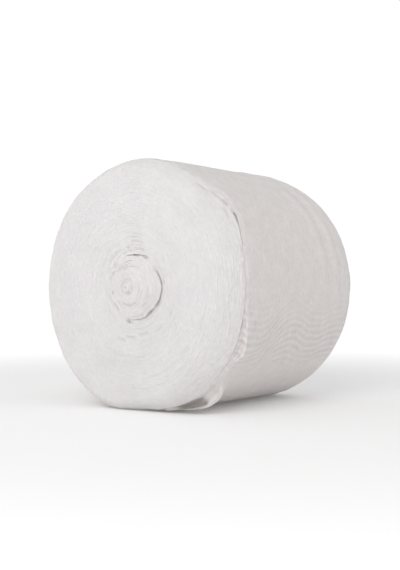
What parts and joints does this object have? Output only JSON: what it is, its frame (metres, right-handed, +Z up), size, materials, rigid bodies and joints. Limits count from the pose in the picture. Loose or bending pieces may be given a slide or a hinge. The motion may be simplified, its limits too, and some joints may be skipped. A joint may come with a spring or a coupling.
{
  "type": "gauze bandage roll",
  "caption": "Large soft roll of folded white gauze lying on its side, its core proud of the end face and its last turn slack along the front edge.",
  "frame": {"origin": "middle of the flat spot that the roll rests on, on the ground under the roll's axis", "axes": "+Z up, +Y along the roll's axis away from the open end face, +X to the right of someone facing that end"},
  "size_m": [0.261, 0.2537, 0.2587],
  "materials": {
    "gauze_roll": "soft white wound gauze, matt and slightly fluffy",
    "gauze_sheet": "soft white folded gauze with a fine open weave, matt"
  },
  "bodies": {
    "root": {"wound_roll": "gauze_roll", "loose_end": "gauze_sheet"}
  },
  "joints": []
}
